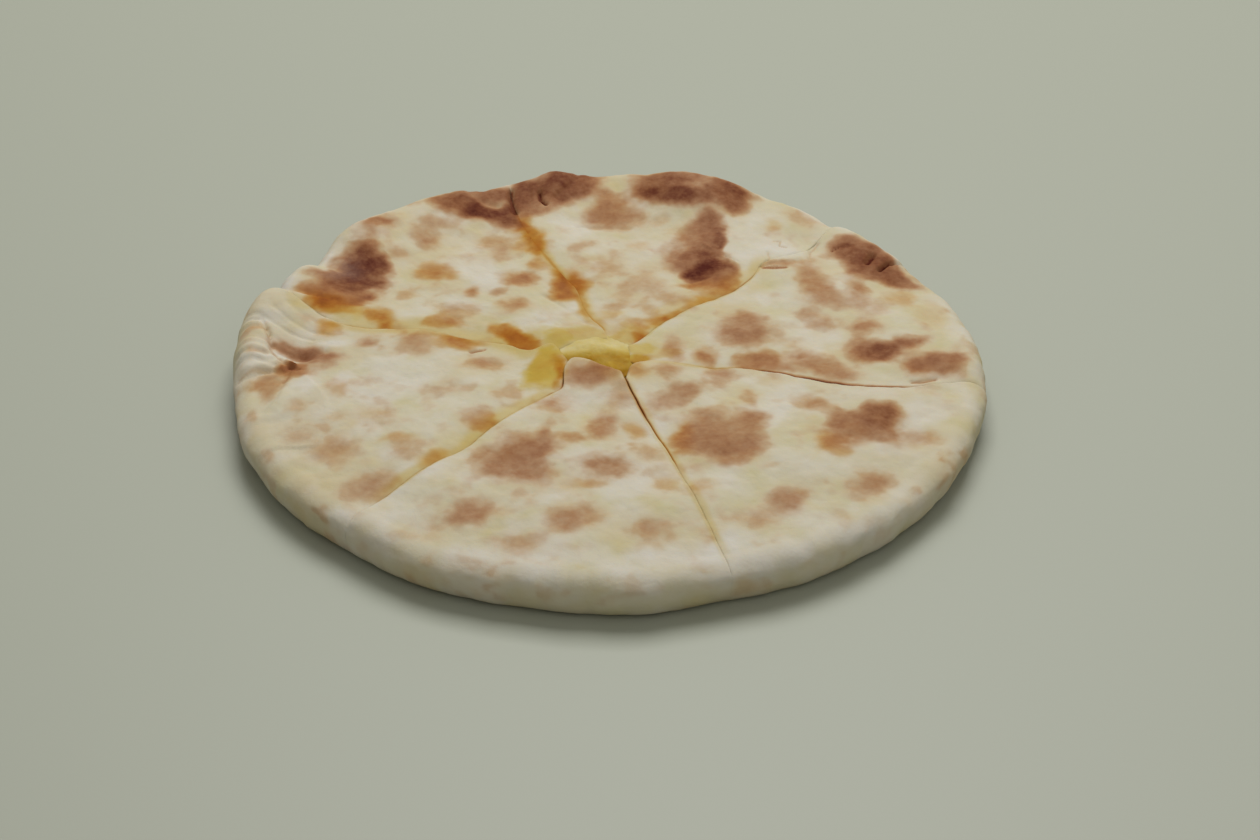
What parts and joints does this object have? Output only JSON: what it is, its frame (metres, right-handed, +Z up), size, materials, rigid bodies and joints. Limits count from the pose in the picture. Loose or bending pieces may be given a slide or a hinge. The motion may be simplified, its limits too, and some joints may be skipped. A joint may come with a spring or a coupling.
{
  "type": "imeruli khachapuri",
  "caption": "Round flat cheese bread, cut into slices that still lie together, with dough on both sides of a cheese filling and a browned, lumpy rim",
  "frame": {"origin": "on the surface the bread lies on, in the middle of its outline", "axes": "+Z up through the thickness; +Y towards the raised back of the rim; +X to the right"},
  "size_m": [0.283, 0.2802, 0.0276],
  "materials": {
    "dough": "soft baked dough, matte, pale with browned spots",
    "cheese": "melted white cheese, soft and slightly moist"
  },
  "bodies": {
    "root": {"dough_right": "dough", "dough_back": "dough", "dough_back_left": "dough", "dough_left": "dough", "dough_front": "dough", "dough_front_right": "dough", "cheese_right": "cheese", "cheese_back": "cheese", "cheese_back_left": "cheese", "cheese_left": "cheese", "cheese_front": "cheese", "cheese_front_right": "cheese", "melted_cheese": "cheese"}
  },
  "joints": []
}
